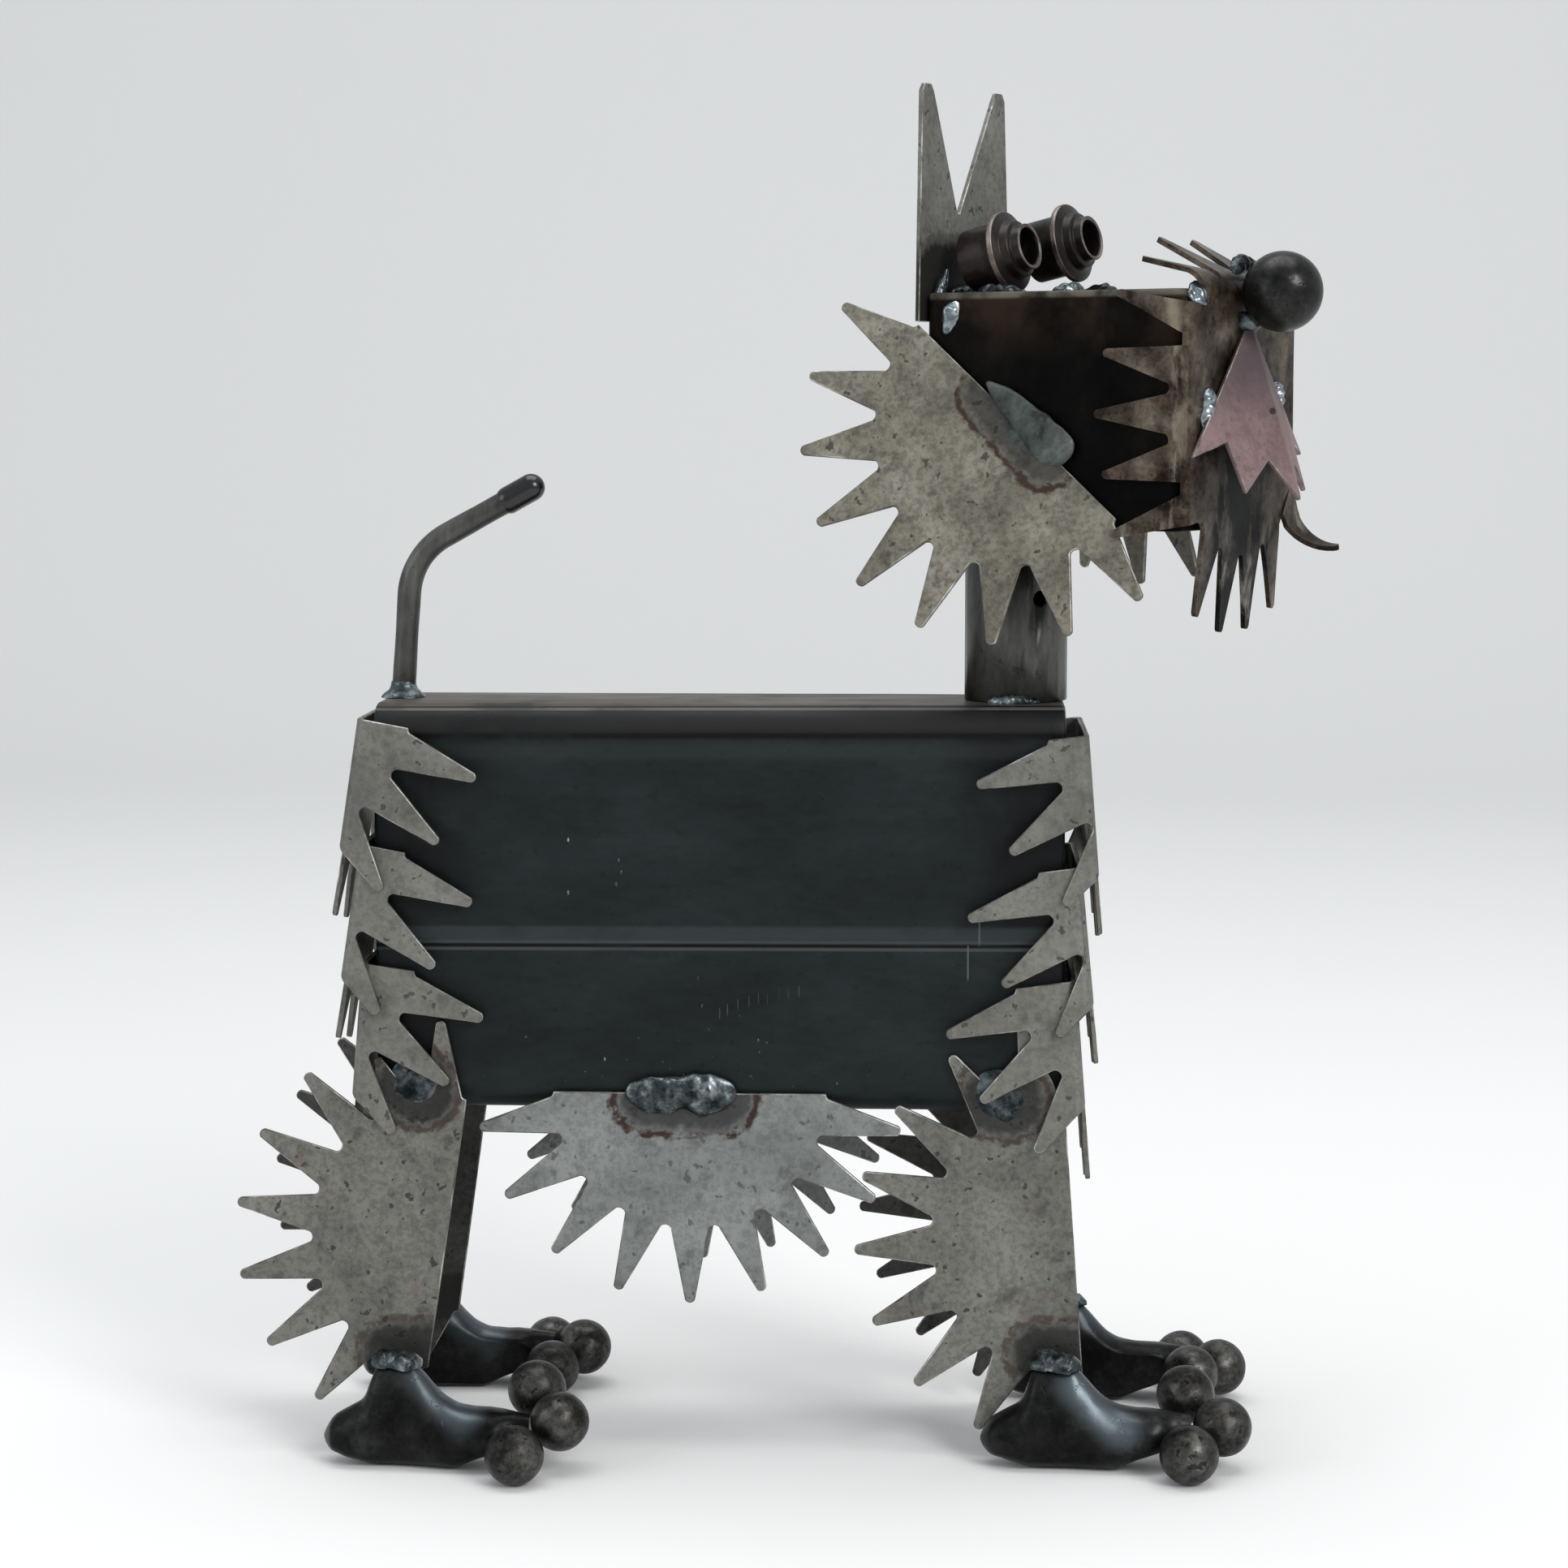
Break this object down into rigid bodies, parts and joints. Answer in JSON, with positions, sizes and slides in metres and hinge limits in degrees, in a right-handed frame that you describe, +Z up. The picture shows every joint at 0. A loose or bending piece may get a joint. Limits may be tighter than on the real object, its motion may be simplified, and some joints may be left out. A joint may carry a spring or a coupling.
{
  "type": "scrap metal dog sculpture",
  "caption": "Shaggy dog sculpture welded from steel offcuts: box body and head, toothed half discs for coat, legs and belly, folded toothed disc for muzzle, ball nose and toes, rod tail.",
  "frame": {"origin": "middle of the overall bounding box, on the floor under the feet", "axes": "+X ahead along the body toward the head, +Z up; the head is turned toward -Y, the near side"},
  "size_m": [0.3282, 0.1576, 0.4075],
  "materials": {
    "coat_steel": "mill-scaled sheet steel, dull grey with an olive tint",
    "dark_steel": "blue-black mill scale",
    "forged_steel": "near-black forged steel with worn satin crests",
    "ball_iron": "dark hammered iron",
    "muzzle_steel": "sheet steel with coppery worn bends",
    "mouth_copper": "dusty pink-brown heat-tinted sheet",
    "tube_steel": "drawn steel, dark grey",
    "eye_steel": "dark brown turned steel with worn rims",
    "cap_rubber": "glossy black dip"
  },
  "bodies": {
    "root": {"belly_plate_far": "coat_steel", "belly_plate_near": "coat_steel", "body_box": "dark_steel", "chest_fringe_1": "coat_steel", "chest_fringe_2": "coat_steel", "chest_fringe_3": "coat_steel", "ear_plate": "coat_steel", "eye_far": "eye_steel", "eye_near": "eye_steel", "front_foot_far": "forged_steel", "front_foot_near": "forged_steel", "front_leg_far": "coat_steel", "front_leg_near": "coat_steel", "front_toe_inner_far": "ball_iron", "front_toe_inner_near": "ball_iron", "front_toe_middle_far": "ball_iron", "front_toe_middle_near": "ball_iron", "front_toe_outer_far": "ball_iron", "front_toe_outer_near": "ball_iron", "head_box": "dark_steel", "mouth_plate": "mouth_copper", "muzzle_disc": "muzzle_steel", "neck_tube": "tube_steel", "nose_ball": "ball_iron", "rear_foot_far": "forged_steel", "rear_foot_near": "forged_steel", "rear_fringe_1": "coat_steel", "rear_fringe_2": "coat_steel", "rear_fringe_3": "coat_steel", "rear_leg_far": "coat_steel", "rear_leg_near": "coat_steel", "rear_toe_inner_far": "ball_iron", "rear_toe_inner_near": "ball_iron", "rear_toe_middle_far": "ball_iron", "rear_toe_middle_near": "ball_iron", "rear_toe_outer_far": "ball_iron", "rear_toe_outer_near": "ball_iron", "ruff_plate_far": "coat_steel", "ruff_plate_near": "coat_steel", "tail_cap": "cap_rubber", "tail_rod": "tube_steel"}
  },
  "joints": []
}
